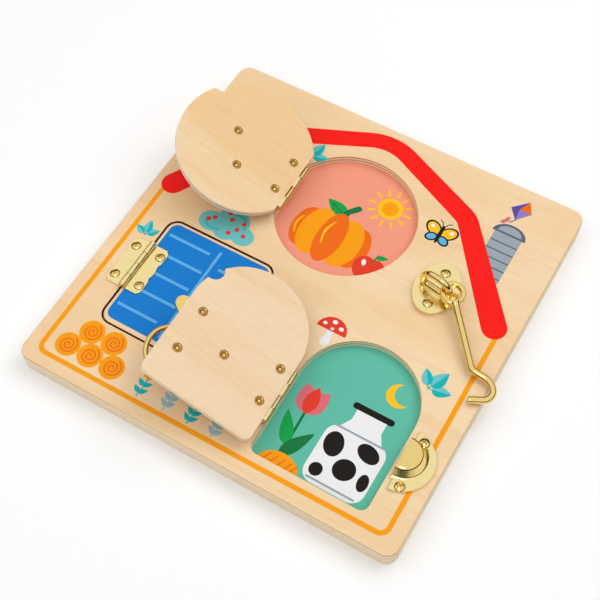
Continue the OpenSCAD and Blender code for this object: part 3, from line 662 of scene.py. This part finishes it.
def fastenerTree():   # seats one fastener on every point, facing out, each with its own turn
    tree, given = newTree("seated_fasteners", (
        ("Seats", "Geometry"), ("Fastener", "Object"), ("Finish", "Material"), ("Seed", "Int")))
    points = add(tree, "GeometryNodeMeshToPoints", inputs={"Mesh": given["Seats"]})
    facing = add(tree, "GeometryNodeInputNamedAttribute", {"data_type": "FLOAT_VECTOR"}, {
        "Name": "facing"})
    upright = add(tree, "FunctionNodeAlignRotationToVector", {"axis": "Z"}, {
        "Vector": facing.outputs[0]})
    turn = add(tree, "FunctionNodeRandomValue", {"data_type": "FLOAT"}, {
        2: 0.0, 3: math.pi, "Seed": given["Seed"]})
    drive = add(tree, "FunctionNodeAxisAngleToRotation", inputs={
        "Axis": (0, 0, 1), "Angle": turn.outputs[1]})
    spun = add(tree, "FunctionNodeRotateRotation", {"rotation_space": "LOCAL"}, {
        "Rotation": upright.outputs[0], "Rotate By": drive.outputs[0]})
    fastener = add(tree, "GeometryNodeObjectInfo", inputs={
        "Object": given["Fastener"], "As Instance": True})
    placed = add(tree, "GeometryNodeInstanceOnPoints", inputs={
        "Points": points.outputs[0], "Instance": fastener.outputs["Geometry"],
        "Rotation": spun.outputs[0]})
    return endTree(tree, placed.outputs[0], given["Finish"])


def rodTree():   # a round bar along a path of edges, as thick as its "thick" attribute says
    tree, given = newTree("bent_rod", (
        ("Path", "Geometry"), ("Sides", "Int"), ("Finish", "Material")))
    curve = add(tree, "GeometryNodeMeshToCurve", inputs={"Mesh": given["Path"]})
    thick = add(tree, "GeometryNodeInputNamedAttribute", {"data_type": "FLOAT"}, {"Name": "thick"})
    ring = add(tree, "GeometryNodeCurvePrimitiveCircle", inputs={
        "Resolution": given["Sides"], "Radius": 1.0})
    bar = add(tree, "GeometryNodeCurveToMesh", inputs={
        "Curve": curve.outputs[0], "Profile Curve": ring.outputs[0], "Scale": thick.outputs[0],
        "Fill Caps": True})
    return endTree(tree, bar.outputs[0], given["Finish"])


seatedFasteners = fastenerTree()
bentRod = rodTree()


sameSpot = 1e-6   # metres: corners of CAD triangles nearer than this are one


def seatsOf(node, body, inward):
    # The places of a CAD node's screws or nuts as a mesh of points, and their height in
    # millimetres: the node's mesh is parted into islands, and each island's box gives one seat.
    shut = restOf[body].inverted()
    bm = bmesh.new()
    bm.from_mesh(nodes[node].data)
    bmesh.ops.remove_doubles(bm, verts=bm.verts, dist=sameSpot)
    left = set(bm.verts)
    found = []
    while left:
        island, rim = set(), [left.pop()]
        while rim:
            vert = rim.pop()
            island.add(vert)
            near = {e.other_vert(vert) for e in vert.link_edges} & left
            left -= near
            rim += near
        spots = [shut @ v.co for v in island]
        low = Vector([min(p[i] for p in spots) for i in range(3)])
        high = Vector([max(p[i] for p in spots) for i in range(3)])
        found.append((low, high))
    bm.free()
    found.sort(key=lambda f: (round(f[0].y, 4), round(f[0].x, 4)))
    mesh = bpy.data.meshes.new(node + "_seats")
    seats = [((low.x + high.x) / 2, (low.y + high.y) / 2, low.z if inward else high.z)
             for low, high in found]
    mesh.from_pydata([restOf[body] @ Vector(s) for s in seats], [], [])
    facing = restOf[body].to_3x3() @ Vector((0, 0, -1 if inward else 1))
    attribute = mesh.attributes.new("facing", "FLOAT_VECTOR", "POINT")
    attribute.data.foreach_set("vector", list(facing) * len(seats))
    low, high = found[0]
    return mesh, (high.z - low.z) / mm


screw = {"headRadius": 3.0, "headHeight": 1.1, "domeSteps": 9, "rimInset": 0.02, "rimHeight": 0.12,
         "rimDrop": 0.05, "shank": 1.25, "point": 3.0, "endBevel": 0.35, "endBulge": 0.12,
         "recessLength": 3.5, "recessWidth": 0.95, "recessDepth": 1.45, "recessFloor": (0.42, 0.62),
         "steps": 48}


def screwBlank(length, pointed):   # oval head with a cross recess; the top of the head is at zero
    r, h, shank = screw["headRadius"], screw["headHeight"], screw["shank"]
    dome = (r * r + h * h) / (2 * h)
    arc = math.asin(r / dome)
    steps = screw["domeSteps"]
    profile = [(dome * math.sin(arc * i / steps), dome * math.cos(arc * i / steps) - dome)
               for i in range(steps)]
    profile += [(r - screw["rimInset"], screw["rimHeight"] - h), (r, -h - screw["rimDrop"]),
                (shank, -h - (r - shank))]
    if pointed:
        profile += [(shank, screw["point"] - length - h), (0, -length - h)]
    else:
        bevel = screw["endBevel"]
        profile += [(shank, bevel - length - h), (shank - bevel, -length - h),
                    (0, -length - h - screw["endBulge"])]
    bm = bmesh.new()
    lathe(bm, profile, screw["steps"])
    cleaned(bm)
    cutter = bmesh.new()
    over = 0.4   # the driver starts this far above the head, and is that much longer there
    floorLength, floorWidth = screw["recessFloor"]
    for turn in (0, 90):
        ring = []
        for z, long, wide in ((over, screw["recessLength"] + over, screw["recessWidth"] + over / 2),
                              (-screw["recessDepth"], screw["recessLength"] * floorLength,
                               screw["recessWidth"] * floorWidth)):
            for x, y in ((-1, -1), (1, -1), (1, 1), (-1, 1)):
                ring.append(cutter.verts.new(Matrix.Rotation(math.radians(turn), 3, "Z")
                                             @ Vector((x * long / 2, y * wide / 2, z))))
        for face in ((3, 2, 1, 0), (4, 5, 6, 7), (0, 1, 5, 4), (1, 2, 6, 5), (2, 3, 7, 6),
                     (3, 0, 4, 7)):
            cutter.faces.new([ring[i] for i in face])
    bmesh.ops.recalc_face_normals(cutter, faces=cutter.faces)
    cut = combined(toMesh(bm, "screw_body"), toMesh(cutter, "cross_driver"), "DIFFERENCE",
                   useSelf=True)
    cut.transform(Matrix.Scale(mm, 4))
    return smoothShaded(cut, 30)


nut = {"bore": 1.3, "rim": 2.9, "crest": 2.5, "crestRadius": 0.4, "proud": 0.2, "dish": 1.5,
       "flange": 0.8, "barrel": 1.9, "steps": 48}


def nutBlank(length):   # flanged sleeve with a dished mouth; its seat in the wood is at zero
    roll = [onCircle(nut["crest"], nut["proud"] - nut["crestRadius"], nut["crestRadius"], t)
            for t in range(0, 91, 15)]
    dish = [(nut["crest"] - (nut["crest"] - nut["bore"]) * math.sin(math.radians(t)),
             nut["proud"] - nut["dish"] * (1 - math.cos(math.radians(t))))
            for t in range(10, 91, 10)]
    profile = [(nut["rim"], -nut["flange"])] + roll + dish
    profile += [(nut["bore"], -length), (nut["barrel"], -length), (nut["barrel"], -nut["flange"])]
    bm = bmesh.new()
    lathe(bm, profile, nut["steps"])
    cleaned(bm)
    return smoothShaded(toMesh(bm, "sleeve_nut", mm), 45)


fastenerNodes = (
    ("round_hinge_board_screws", "board"), ("arch_hinge_board_screws", "board"),
    ("square_hinge_board_screws", "board"), ("hook_plate_screws", "board"),
    ("keeper_screws", "board"), ("round_hinge_door_screws", "round_door"),
    ("catch_screws", "round_door"), ("arch_hinge_door_screws", "arch_door"),
    ("latch_screws", "arch_door"), ("square_hinge_door_screws", "square_door"),
    ("round_hinge_door_nuts", "round_door"), ("catch_nuts", "round_door"),
    ("arch_hinge_door_nuts", "arch_door"), ("latch_nuts", "arch_door"),
    ("square_hinge_door_nuts", "square_door"))
firstSeed = 3   # every set of fasteners has turns of its own

for seed, (node, body) in enumerate(fastenerNodes, firstSeed):
    isScrew = node.endswith("screws")
    seatMesh, height = seatsOf(node, body, not isScrew)
    if isScrew:
        blank, finish = screwBlank(height - screw["headHeight"], body == "board"), polishedBrass
        name = node.replace("screws", "cross_screws")
    else:
        blank, finish = nutBlank(height), turnedBrass
        name = node.replace("nuts", "sleeve_nuts")
    model = linked(name + "_blank", blank)
    mesh = grown(seatMesh, seatedFasteners, {"Fastener": model, "Finish": finish, "Seed": seed})
    bpy.data.objects.remove(model)
    addPiece(name, mesh, body, node=node)
print("screws and nuts seated")


def bendPath(steps, spacing):   # straight runs and arcs from (length, turn to the left, bend) steps
    place, heading = Vector((0, 0)), 0.0
    path = [place.copy()]
    for length, turn, bend in steps:
        along = Vector((math.cos(heading), math.sin(heading)))
        count = max(1, round(length / spacing))
        for i in range(1, count + 1):
            path.append(place + along * length * i / count)
        place = path[-1].copy()
        if turn:
            sweep = math.radians(turn)
            side = math.copysign(1, sweep)
            centre = place + Vector((-along.y, along.x)) * side * bend
            count = max(4, round(abs(sweep) * bend / spacing))
            for i in range(1, count + 1):
                path.append(centre + Matrix.Rotation(sweep * i / count, 2) @ (place - centre))
            place = path[-1].copy()
            heading += sweep
    return path


def rodMesh(path, thick, closed):   # an edge path in millimetres with its radius at every point
    mesh = bpy.data.meshes.new("rod_path")
    edges = [(i, i + 1) for i in range(len(path) - 1)] + ([(len(path) - 1, 0)] if closed else [])
    mesh.from_pydata(path, edges, [])
    mesh.attributes.new("thick", "FLOAT", "POINT").data.foreach_set("value", thick)
    return mesh


rodSides = 40
staple = {"width": 20.6, "top": 17.6, "foot": 3.6, "bend": 8.4, "footBend": 4.0, "rod": 2.35,
          "joint": 7.6, "jointHalf": 0.2, "jointDepth": 0.22, "spacing": 0.35}


def wireStaple(name, body, matrix, node):   # a ring of bent wire, its ends butted in the left leg
    rise = staple["top"] - staple["foot"]
    run, leg = staple["width"], rise - staple["bend"] - staple["footBend"]
    path = bendPath([(leg, -90, staple["bend"]), (run - 2 * staple["bend"], -90, staple["bend"]),
                     (leg, -90, staple["footBend"]),
                     (run - 2 * staple["footBend"], -90, staple["footBend"])], staple["spacing"])
    path = path[:-1]   # its last point is its first one again
    placed = [Vector((-run / 2 - p.y, 0, staple["foot"] + staple["footBend"] + p.x)) for p in path]
    thick = []
    for p in placed:
        atJoint = p.x < -run / 2 + 0.1 and abs(p.z - staple["joint"]) < staple["jointHalf"]
        thick.append(staple["rod"] - (staple["jointDepth"] if atJoint else 0))
    rod = grown(rodMesh(placed, thick, True), bentRod, {"Sides": rodSides, "Finish": polishedBrass})
    rod.transform(matrix @ Matrix.Scale(mm, 4))
    addPiece(name, smoothShaded(rod, 50), body, node=node)


hookPlate = {"at": (75.8, 36.0), "turn": 0, "staple": (75.9, 34.2), "stapleTurn": -9}
catchPlate = {"at": (-0.9, 55.2), "turn": -30.5}


def standing(body, x, y, turn):   # matrix of something that stands on a face at x, y in millimetres
    return (restOf[body] @ Matrix.Translation((x * mm, y * mm, faceLevel * mm))
            @ Matrix.Rotation(math.radians(turn), 4, "Z"))


wireStaple("hook_wire_staple", "board",
           standing("board", *hookPlate["staple"], hookPlate["stapleTurn"]), "hook_staple")
wireStaple("catch_wire_staple", "round_door",
           standing("round_door", *catchPlate["at"], catchPlate["turn"]), "catch_staple")

ovalPlate = {"length": 40.8, "width": 30.2, "thick": 3.0, "endRadius": 11.5, "rim": 1.1,
             "pitch": 26.2, "spacing": 0.8}
seat = {"mouth": 3.5, "throat": 1.35, "depth": 1.75, "steps": 48}   # a screw's countersink


def ovalOutline():   # four arcs: two ends and two flatter sides
    half, end = ovalPlate["width"] / 2, ovalPlate["endRadius"]
    endY = ovalPlate["length"] / 2 - end
    side = (half ** 2 + endY ** 2 - end ** 2) / (2 * half - 2 * end)
    sideX = side - half
    reach = math.degrees(math.atan2(endY, sideX))
    arcs = ((-sideX, 0, side, -reach, reach), (0, endY, end, reach, 180 - reach),
            (sideX, 0, side, 180 - reach, 180 + reach), (0, -endY, end, 180 + reach, 360 - reach))
    outline = []
    for x, y, r, start, stop in arcs:
        count = max(4, round(math.radians(stop - start) * r / ovalPlate["spacing"]))
        outline += [onCircle(x, y, r, start + (stop - start) * i / count) for i in range(count)]
    return outline


def plateMesh(outline, thick, rim, seats, openings=()):
    # A plate with a rolled upper rim, countersunk for its screws; outline and sizes in millimetres.
    bm = bmesh.new()
    addPrism(bm, outline, 0, thick * mm, 0, Matrix.Identity(4))
    bm.transform(Matrix.Scale(1 / mm, 4))
    for vert in bm.verts:
        vert.co.z = round(vert.co.z, 5)
    upper = [e for e in bm.edges if all(v.co.z > thick - 0.01 for v in e.verts)]
    bmesh.ops.bevel(bm, geom=upper, offset=rim, segments=5, profile=0.5, affect="EDGES",
                    clamp_overlap=True)
    cleaned(bm)
    cutter = bmesh.new()
    above, below = thick + 1.5, -1   # the cutters stand past both faces
    for x, y in seats:
        rings = lathe(cutter, [(0, above), (seat["mouth"], above), (seat["mouth"], thick),
                               (seat["throat"], thick - seat["depth"]), (seat["throat"], below),
                               (0, below)], seat["steps"])
        bmesh.ops.translate(cutter, verts=[v for ring in rings for v in ring], vec=(x, y, 0))
    cleaned(cutter)
    for opening in openings:
        addPrism(cutter, opening, below, thick + 1, 0, Matrix.Diagonal((1 / mm, 1 / mm, 1, 1)))
    return combined(toMesh(bm, "plate_body"), toMesh(cutter, "holes"), "DIFFERENCE")


def fitted(name, body, mesh, matrix, material, node, angle):   # from millimetres into its place
    mesh.transform(matrix @ Matrix.Scale(mm, 4))
    return addPiece(name, smoothShaded(mesh, angle), body, material, node)


ovalSeats = [(0, ovalPlate["pitch"] / 2), (0, -ovalPlate["pitch"] / 2)]
for name, body, plate, node in (("hook_oval_plate", "board", hookPlate, "hook_plate"),
                                ("catch_oval_plate", "round_door", catchPlate, "catch_plate")):
    fitted(name, body, plateMesh(ovalOutline(), ovalPlate["thick"], ovalPlate["rim"], ovalSeats),
           standing(body, *plate["at"], plate["turn"]), satinBrass, node, 24)
print("plates and staples made")

cabinHook = {"eye": (88.2, 33.5, 24.7), "turn": -50.2, "dip": 5.28, "eyeRadius": 8.3,
             "eyeHole": 5.3, "eyeThick": 4.6, "eyeRound": 0.8, "eyeSteps": 72, "rod": 2.49,
             "neck": 3.6, "flare": 1.2, "tip": 0.6, "spacing": 0.5,
             # the rod's runs, each with the turn and the bend radius after it
             "runs": ((45.1, 45.6, 5), (7.2, -46.2, 11.2), (0.1, -102, 6.6), (9.2, 0, 0))}


def roundedSection(inner, outer, thick, corner, count=5):   # a ring's section, its corners rounded
    half = thick / 2
    section = []
    for turn, r, z in ((0, outer - corner, half - corner), (90, inner + corner, half - corner),
                       (180, inner + corner, corner - half), (270, outer - corner, corner - half)):
        section += [onCircle(r, z, corner, turn + 90 * i / count) for i in range(count + 1)]
    return section


def hookMesh():   # a forged eye with a rod that flares into it
    d = cabinHook
    start = (d["eyeRadius"] + d["eyeHole"]) / 2
    path = bendPath(d["runs"], d["spacing"])
    lengths = [0]
    for a, b in zip(path, path[1:]):
        lengths.append(lengths[-1] + (b - a).length)
    thick = []
    for along in lengths:
        flare = max(0, 1 - along / d["neck"]) ** 2 * d["flare"]
        ending = max(0, 1 - (lengths[-1] - along) / d["tip"]) * d["tip"]
        thick.append(d["rod"] + flare - ending)
    rod = grown(rodMesh([Vector((p.x + start, p.y, 0)) for p in path], thick, False), bentRod,
                {"Sides": rodSides, "Finish": polishedBrass})
    bm = bmesh.new()
    section = roundedSection(d["eyeHole"], d["eyeRadius"], d["eyeThick"], d["eyeRound"])
    lathe(bm, section, d["eyeSteps"])
    cleaned(bm)
    return combined(toMesh(bm, "eye"), rod, "UNION")


hookPlace = (Matrix.Translation(Vector(cabinHook["eye"]) * mm)
             @ Matrix.Rotation(math.radians(cabinHook["turn"]), 4, "Z")
             @ Matrix.Rotation(math.radians(cabinHook["dip"]), 4, "Y"))
fitted("cabin_hook", "hook", hookMesh(), hookPlace, polishedBrass, "hook", 35)
print("hook made")

halfMoon = {"at": (113.2, -81.9), "radius": 21, "reach": 20.2, "thick": 1.7, "rim": 0.7,
            "pitch": 32.5, "screwIn": 6.3, "hood": 2.5, "foot": 14.5, "roof": 10.6, "height": 7.8,
            "wall": 1.2, "lip": 1.2, "open": 50, "shoulder": 2.8, "fillet": 1.6,
            "sinkOut": 0.3, "sinkIn": 0.4,   # how far the hood's wall goes into the plate
            "outlineSteps": 90, "wellStep": 5, "hoodStep": 4}


def roundCorner(a, corner, b, radius, count=6):
    return [tuple(p) for p in rounded([a, corner, b], [radius], count)[1:-1]]


def halfMoonKeeper():   # a flat half moon and a pressed hood, hollow and open towards the latch
    d = halfMoon
    wall, foot, roof, thick = d["wall"], d["foot"], d["roof"], d["thick"]
    c, steps = d["reach"] - d["radius"], d["outlineSteps"]
    far = math.degrees(math.acos(-c / d["radius"]))
    outline = [onCircle(c, 0, d["radius"], -far + 2 * far * i / steps) for i in range(steps + 1)]
    well = [(-1, d["hood"] - foot + wall)]   # the plate is open under the hood
    for r, start, stop in ((foot - wall, -90, d["open"]), (roof - wall, d["open"], 90)):
        well += [onCircle(0, d["hood"], r, t) for t in range(start, stop + 1, d["wellStep"])]
    well += [(-1, d["hood"] + roof - wall)]
    seats = [(d["screwIn"], side * d["pitch"] / 2) for side in (-1, 1)]
    flat = plateMesh(outline, thick, d["rim"], seats, openings=(well,))
    # the hood's section, from the middle of its roof out and down to the plate, and back inside
    height, ceiling, plateAway = d["height"], d["height"] - wall, foot + 9
    outer = [(0, height)]
    outer += roundCorner((0, height), (roof, height), (foot, thick), d["shoulder"])
    outer += roundCorner((roof, height), (foot, thick), (plateAway, thick), d["fillet"])
    outer += [(foot + d["fillet"], thick - d["sinkOut"])]
    inner = [(foot - wall, thick - d["sinkIn"])]
    inner += roundCorner(inner[0], (roof - wall, ceiling), (0, ceiling), d["shoulder"] / 2)
    inner += [(0, ceiling)]
    roofOnly = [p for p in outer if p[1] > ceiling] + [(roof, ceiling), (0, ceiling)]
    bm = bmesh.new()
    for section, start, stop in ((outer + inner, -90, d["open"]), (roofOnly, d["open"], 90)):
        rings = lathe(bm, section, round((stop - start) / d["hoodStep"]), start, stop - start)
        end = rings[0] if start == -90 else rings[-1]
        lip = [bm.verts.new(v.co + Vector((-d["lip"], 0, 0))) for v in end]
        old = [f for f in end[0].link_faces if len(f.verts) == len(end)]
        bmesh.ops.delete(bm, geom=old, context="FACES_ONLY")
        for j in range(len(end)):
            k = (j + 1) % len(end)
            bm.faces.new((end[j], end[k], lip[k], lip[j]))
        bm.faces.new(lip)
    bmesh.ops.translate(bm, verts=bm.verts, vec=(0, d["hood"], 0))
    cleaned(bm, joinWithin=2e-3)
    both = bmesh.new()
    both.from_mesh(flat)
    both.from_mesh(toMesh(bm, "hood"))
    return toMesh(both, "keeper")


keeperPiece = fitted("half_moon_keeper", "board", halfMoonKeeper(),
                     standing("board", *halfMoon["at"], 0), satinBrass, "keeper", 32)
keeperPiece.data.materials.append(polishedBrass)
for face in keeperPiece.data.polygons:   # the plate is satin, the pressed hood is polished
    onHood = face.center.z > (faceLevel + halfMoon["thick"] + 0.15) * mm
    face.material_index = 1 if onHood else 0
print("keeper made")


eased = {"segments": 3, "sharpFrom": 35, "flatWithin": 1.5, "leaf": 0.28, "pin": 0.2,
         "casting": 0.5}


def softened(node, body, material, width):   # a CAD part's mesh with its edges eased
    bm = bmesh.new()
    bm.from_mesh(nodes[node].data)
    bmesh.ops.remove_doubles(bm, verts=bm.verts, dist=sameSpot)
    bm.transform(Matrix.Scale(1 / mm, 4))
    bmesh.ops.dissolve_limit(bm, angle_limit=math.radians(eased["flatWithin"]), verts=bm.verts,
                             edges=bm.edges)
    mesh = applied(toMesh(bm, node), "BEVEL", width=width, segments=eased["segments"],
                   limit_method="ANGLE", angle_limit=math.radians(eased["sharpFrom"]))
    fitted(node + "_eased", body, mesh, Matrix.Identity(4), material, node, 30)


for side in ("round", "arch", "square"):
    softened(side + "_hinge_board_leaf", "board", satinBrass, eased["leaf"])
    softened(side + "_hinge_door_leaf", side + "_door", satinBrass, eased["leaf"])
    softened(side + "_hinge_pin", "board", polishedBrass, eased["pin"])
softened("latch_plate", "arch_door", satinBrass, eased["casting"])
softened("latch_lever", "latch", polishedBrass, eased["casting"])
print("hinges and latch made")


# A paper floor under a big pale sky, whose low dark band gives the metal its dark lines. Three
# lamps shape the shadows, and a small one is there for the sparkle on the brass.
studio = {"floorColour": "#FBFBFB", "floorSize": 60.0, "floorBelow": 0.02, "worldStrength": 1.0,
          # each grey of the sky with its height, which is the sine of the angle above the floor
          "sky": ((0.0, 0.85), (0.015, 0.80), (0.03, 0.05), (0.39, 0.05), (0.53, 0.75),
                  (0.62, 1.02), (0.78, 0.95), (1.0, 0.92)),
          # each lamp's size in metres, watts, place and what it gives
          "lamps": (("key", (1.1, 1.1), 7.2, (0.45, 0.75, 1.3), "shadows"),
                    ("fill", (0.8, 0.8), 1.2, (-0.8, -0.5, 0.9), "shadows"),
                    ("bounce", (1.6, 0.5), 2.4, (-0.35, -1.3, 0.45), "shadows"),
                    ("glint", (0.34, 0.34), 2.6, (0.2, -0.5, 1.25), "sparkle"))}

floorMesh = bpy.data.meshes.new("floor")
half = studio["floorSize"] / 2
corners = [(-half, -half, 0), (half, -half, 0), (half, half, 0), (-half, half, 0)]
floorMesh.from_pydata(corners, [], [(0, 1, 2, 3)])
floor = linked("floor", floorMesh)
floor.location.z = -studio["floorBelow"] * mm
paper, _, paperShader = newMaterial("matt_paper_floor")   # a dull white sweep without gloss
paperShader.inputs["Base Color"].default_value = linear(studio["floorColour"])
paperShader.inputs["Roughness"].default_value = 0.9
paperShader.inputs["Specular IOR Level"].default_value = 0.0
setMaterial(floor, paper)

world = bpy.data.worlds.new("studio")
world.use_nodes = True
worldTree = world.node_tree
around = add(worldTree, "ShaderNodeTexCoord")
rise = add(worldTree, "ShaderNodeSeparateXYZ", inputs={0: around.outputs["Generated"]})
sky = add(worldTree, "ShaderNodeValToRGB", inputs={"Fac": rise.outputs["Z"]})
steps = sky.color_ramp.elements
for height, grey in studio["sky"][1:-1]:
    steps.new(height).color = (grey, grey, grey, 1)
for step, (height, grey) in ((steps[0], studio["sky"][0]), (steps[-1], studio["sky"][-1])):
    step.color = (grey, grey, grey, 1)
worldTree.links.new(sky.outputs[0], worldTree.nodes["Background"].inputs["Color"])
worldTree.nodes["Background"].inputs["Strength"].default_value = studio["worldStrength"]
scene.world = world


def softbox(name, size, power, place, gives):   # gives "shadows", or "sparkle" for gloss only
    light = bpy.data.lights.new(name, "AREA")
    light.shape = "RECTANGLE"
    light.size, light.size_y = size
    light.energy = power
    lamp = linked(name, light)
    lamp.location = place
    lamp.rotation_euler = Vector(place).to_track_quat("Z", "Y").to_euler()
    lamp.visible_diffuse = gives == "shadows"
    lamp.visible_glossy = gives == "sparkle"


for lampSettings in studio["lamps"]:
    softbox(*lampSettings)

camera = {"azimuth": 31.991, "elevation": 59.635, "roll": 1.815, "lens": 70.05, "sensor": 36,
          "place": (0.20739, -0.34508, 0.67853)}


def aimCamera():   # it looks back along the azimuth and elevation, and leans by the roll
    az, el, roll = (math.radians(camera[k]) for k in ("azimuth", "elevation", "roll"))
    back = Vector((math.sin(az) * math.cos(el), -math.cos(az) * math.cos(el), math.sin(el)))
    right = (-back).cross(Vector((0, 0, 1))).normalized()
    up = back.cross(right)
    right, up = (right * math.cos(roll) - up * math.sin(roll),
                 up * math.cos(roll) + right * math.sin(roll))
    data = bpy.data.cameras.new("camera")
    data.lens = camera["lens"]
    data.sensor_width = camera["sensor"]
    data.clip_start = 0.01
    obj = linked("camera", data)
    obj.matrix_world = Matrix((
        (right.x, up.x, back.x, camera["place"][0]),
        (right.y, up.y, back.y, camera["place"][1]),
        (right.z, up.z, back.z, camera["place"][2]),
        (0, 0, 0, 1)))
    scene.camera = obj


aimCamera()
scene.view_settings.view_transform = "Standard"
print("floor, light and camera set")
